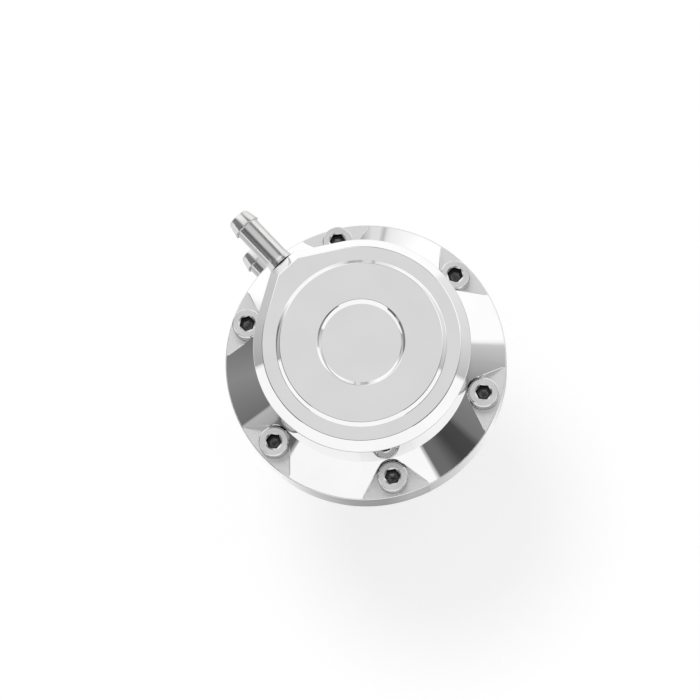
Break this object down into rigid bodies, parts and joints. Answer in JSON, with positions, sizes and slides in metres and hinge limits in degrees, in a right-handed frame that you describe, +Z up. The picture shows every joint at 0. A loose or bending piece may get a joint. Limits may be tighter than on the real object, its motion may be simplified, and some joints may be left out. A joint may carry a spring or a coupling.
{
  "type": "wastegate actuator",
  "caption": "Two-port diaphragm wastegate actuator: polished billet can, clamped cover with socket screws, barbed hose tails, sprung rod with an adjustable eye.",
  "frame": {"origin": "midway between the two tapped bracket holes, on the lower body's base face", "axes": "+Z up the actuator's axis towards the cover's face, rod pointing to -Z; both hose tails point to -X; the bracket holes lie along Y"},
  "size_m": [0.0917, 0.08, 0.1413],
  "materials": {
    "polished_cover": "polished",
    "polished_can": "polished",
    "screw_steel": "stainless, bead blasted",
    "tail_steel": "stainless, satin turned",
    "washer_rubber": "moulded",
    "coated_fabric": "silicone coated fabric",
    "spring_steel": "shot peened, oiled",
    "bush_bronze": "sintered bronze",
    "seal_rubber": "moulded",
    "ring_steel": "phosphated",
    "rod_steel": "stainless, ground",
    "piston_aluminium": "turned",
    "plate_aluminium": "turned",
    "plated_steel": "bright zinc plated",
    "eye_steel": "stainless, machined"
  },
  "bodies": {
    "canister": {"lower_body": "polished_can", "top_cover": "polished_cover", "diaphragm": "coated_fabric", "return_spring": "spring_steel", "rod_bush": "bush_bronze", "rod_seal": "seal_rubber", "seal_retaining_ring": "ring_steel", "cover_screw_1": "screw_steel", "cover_screw_2": "screw_steel", "cover_screw_3": "screw_steel", "cover_screw_4": "screw_steel", "cover_screw_5": "screw_steel", "cover_screw_6": "screw_steel", "upper_hose_tail": "tail_steel", "lower_hose_tail": "tail_steel", "upper_tail_seal": "washer_rubber", "lower_tail_seal": "washer_rubber"},
    "rod": {"actuator_rod": "rod_steel", "piston": "piston_aluminium", "retainer_plate": "plate_aluminium", "piston_washer": "plated_steel", "piston_nut": "plated_steel", "lock_nut": "plated_steel", "rod_eye": "eye_steel"}
  },
  "joints": [
    {"name": "rod_slide", "type": "slide", "parent": "canister", "child": "rod", "axis": [0, 0, -1], "range_m": [0, 0.012], "stiffness_N_per_m": 8800, "springref_m": -0.0135, "deforming": ["return_spring", "diaphragm"]}
  ]
}
